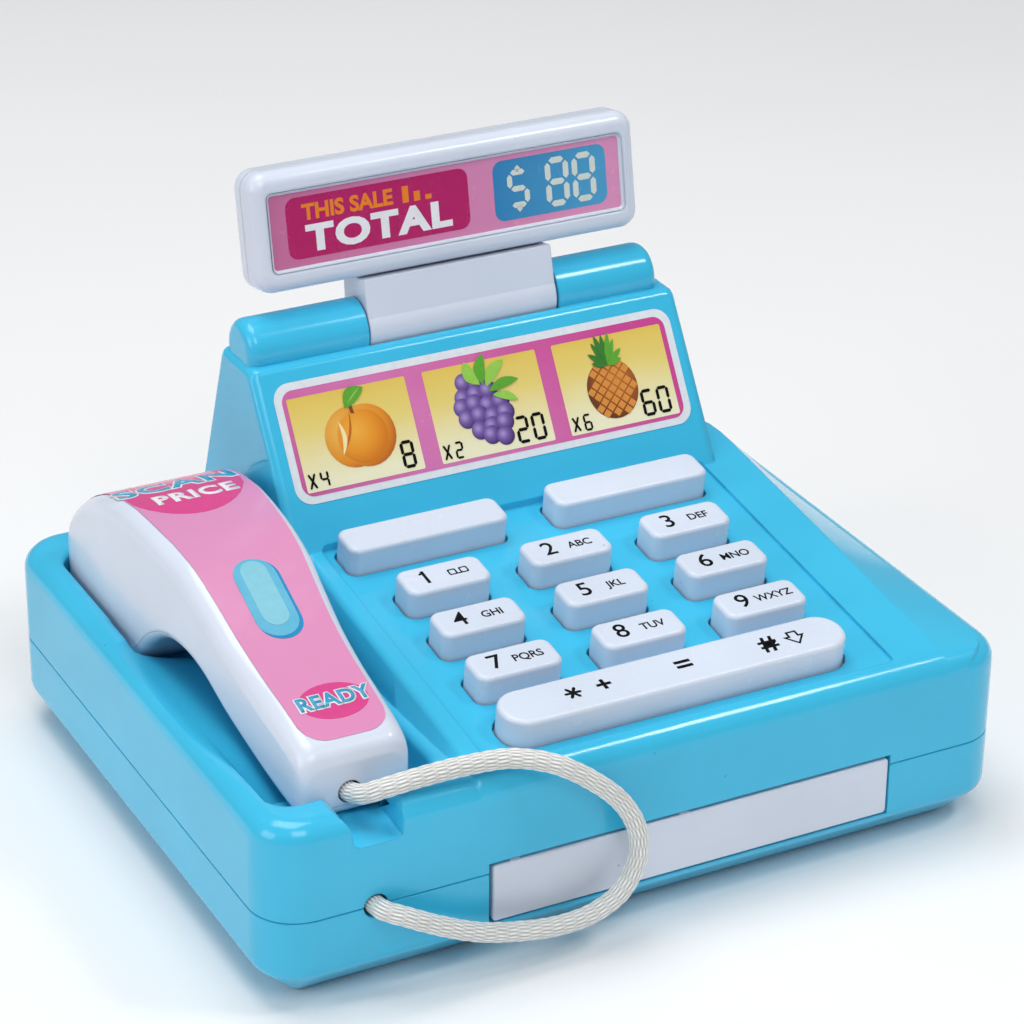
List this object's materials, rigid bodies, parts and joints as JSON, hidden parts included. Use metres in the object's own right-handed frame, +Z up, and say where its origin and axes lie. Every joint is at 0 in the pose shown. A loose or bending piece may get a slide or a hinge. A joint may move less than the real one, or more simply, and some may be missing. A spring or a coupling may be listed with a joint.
{
  "type": "toy cash register",
  "caption": "Small moulded toy till with sprung keys, a sliding coin drawer, a tilting display sign and a corded lift-off hand scanner in a cradle.",
  "frame": {"origin": "bottom centre of the case, on the surface it stands on", "axes": "+X to the right seen from the front, +Y to the rear, +Z up"},
  "size_m": [0.15, 0.1293, 0.1124],
  "materials": {
    "blue_plastic": "glossy light-blue moulded case",
    "white_plastic": "glossy white moulded plastic",
    "key_plastic": "satin white key caps with printed legends",
    "printed_sticker": "glossy printed film, pink ground",
    "steel": "zinc-plated screws and spring wire",
    "cord_fabric": "white satin braid"
  },
  "bodies": {
    "housing": {"bottom_shell": "blue_plastic", "top_shell": "blue_plastic", "price_sticker": "printed_sticker", "key_guide_plate": "blue_plastic", "plate_screw_1": "steel", "plate_screw_2": "steel", "plate_screw_3": "steel", "plate_screw_4": "steel", "case_screw_1": "steel", "case_screw_2": "steel", "case_screw_3": "steel", "case_screw_4": "steel", "key_spring_1": "steel", "key_spring_2": "steel", "key_spring_3": "steel", "key_spring_4": "steel", "key_spring_5": "steel", "key_spring_6": "steel", "key_spring_7": "steel", "key_spring_8": "steel", "key_spring_9": "steel", "key_spring_10": "steel", "key_spring_11": "steel", "key_spring_12": "steel", "key_spring_13": "steel", "tether_cord": "cord_fabric", "cord_knot_base": "cord_fabric"},
    "number_key_1": {"number_key_1": "key_plastic"},
    "number_key_2": {"number_key_2": "key_plastic"},
    "number_key_3": {"number_key_3": "key_plastic"},
    "number_key_4": {"number_key_4": "key_plastic"},
    "number_key_5": {"number_key_5": "key_plastic"},
    "number_key_6": {"number_key_6": "key_plastic"},
    "number_key_7": {"number_key_7": "key_plastic"},
    "number_key_8": {"number_key_8": "key_plastic"},
    "number_key_9": {"number_key_9": "key_plastic"},
    "blank_key_left": {"blank_key_left": "key_plastic"},
    "blank_key_right": {"blank_key_right": "key_plastic"},
    "enter_bar": {"enter_bar": "key_plastic"},
    "cash_drawer": {"cash_drawer": "white_plastic"},
    "display": {"display_frame": "white_plastic", "display_back": "white_plastic", "display_label": "printed_sticker", "display_screw_1": "steel", "display_screw_2": "steel"},
    "scanner": {"scanner_shell": "white_plastic", "scanner_base": "white_plastic", "scanner_label": "printed_sticker", "scanner_screw_1": "steel", "scanner_screw_2": "steel", "cord_knot_scanner": "cord_fabric"}
  },
  "joints": [
    {"name": "number_key_1_press", "type": "slide", "parent": "housing", "child": "number_key_1", "axis": [0, 0.1283, -0.9917], "range_m": [0, 0.002], "stiffness_N_per_m": 120, "springref_m": -0.002, "deforming": ["key_spring_1"]},
    {"name": "number_key_2_press", "type": "slide", "parent": "housing", "child": "number_key_2", "axis": [0, 0.1283, -0.9917], "range_m": [0, 0.002], "stiffness_N_per_m": 120, "springref_m": -0.002, "deforming": ["key_spring_2"]},
    {"name": "number_key_3_press", "type": "slide", "parent": "housing", "child": "number_key_3", "axis": [0, 0.1283, -0.9917], "range_m": [0, 0.002], "stiffness_N_per_m": 120, "springref_m": -0.002, "deforming": ["key_spring_3"]},
    {"name": "number_key_4_press", "type": "slide", "parent": "housing", "child": "number_key_4", "axis": [0, 0.1283, -0.9917], "range_m": [0, 0.002], "stiffness_N_per_m": 120, "springref_m": -0.002, "deforming": ["key_spring_4"]},
    {"name": "number_key_5_press", "type": "slide", "parent": "housing", "child": "number_key_5", "axis": [0, 0.1283, -0.9917], "range_m": [0, 0.002], "stiffness_N_per_m": 120, "springref_m": -0.002, "deforming": ["key_spring_5"]},
    {"name": "number_key_6_press", "type": "slide", "parent": "housing", "child": "number_key_6", "axis": [0, 0.1283, -0.9917], "range_m": [0, 0.002], "stiffness_N_per_m": 120, "springref_m": -0.002, "deforming": ["key_spring_6"]},
    {"name": "number_key_7_press", "type": "slide", "parent": "housing", "child": "number_key_7", "axis": [0, 0.1283, -0.9917], "range_m": [0, 0.002], "stiffness_N_per_m": 120, "springref_m": -0.002, "deforming": ["key_spring_7"]},
    {"name": "number_key_8_press", "type": "slide", "parent": "housing", "child": "number_key_8", "axis": [0, 0.1283, -0.9917], "range_m": [0, 0.002], "stiffness_N_per_m": 120, "springref_m": -0.002, "deforming": ["key_spring_8"]},
    {"name": "number_key_9_press", "type": "slide", "parent": "housing", "child": "number_key_9", "axis": [0, 0.1283, -0.9917], "range_m": [0, 0.002], "stiffness_N_per_m": 120, "springref_m": -0.002, "deforming": ["key_spring_9"]},
    {"name": "blank_key_left_press", "type": "slide", "parent": "housing", "child": "blank_key_left", "axis": [0, 0.1283, -0.9917], "range_m": [0, 0.002], "stiffness_N_per_m": 120, "springref_m": -0.002, "deforming": ["key_spring_10"]},
    {"name": "blank_key_right_press", "type": "slide", "parent": "housing", "child": "blank_key_right", "axis": [0, 0.1283, -0.9917], "range_m": [0, 0.002], "stiffness_N_per_m": 120, "springref_m": -0.002, "deforming": ["key_spring_11"]},
    {"name": "enter_bar_press", "type": "slide", "parent": "housing", "child": "enter_bar", "axis": [0, 0.1283, -0.9917], "range_m": [0, 0.002], "stiffness_N_per_m": 240, "springref_m": -0.002, "deforming": ["key_spring_12", "key_spring_13"]},
    {"name": "drawer_slide", "type": "slide", "parent": "housing", "child": "cash_drawer", "axis": [0, -1, 0], "range_m": [0, 0.045], "deforming": ["tether_cord"]},
    {"name": "display_tilt", "type": "hinge", "parent": "housing", "child": "display", "pos_m": [0.009, 0.0378, 0.079], "axis": [1, 0, 0], "range_deg": [-50, 58]},
    {"name": "scanner_lift", "type": "slide", "parent": "housing", "child": "scanner", "axis": [0, 0, 1], "range_m": [0, 0.06], "deforming": ["tether_cord"]}
  ]
}
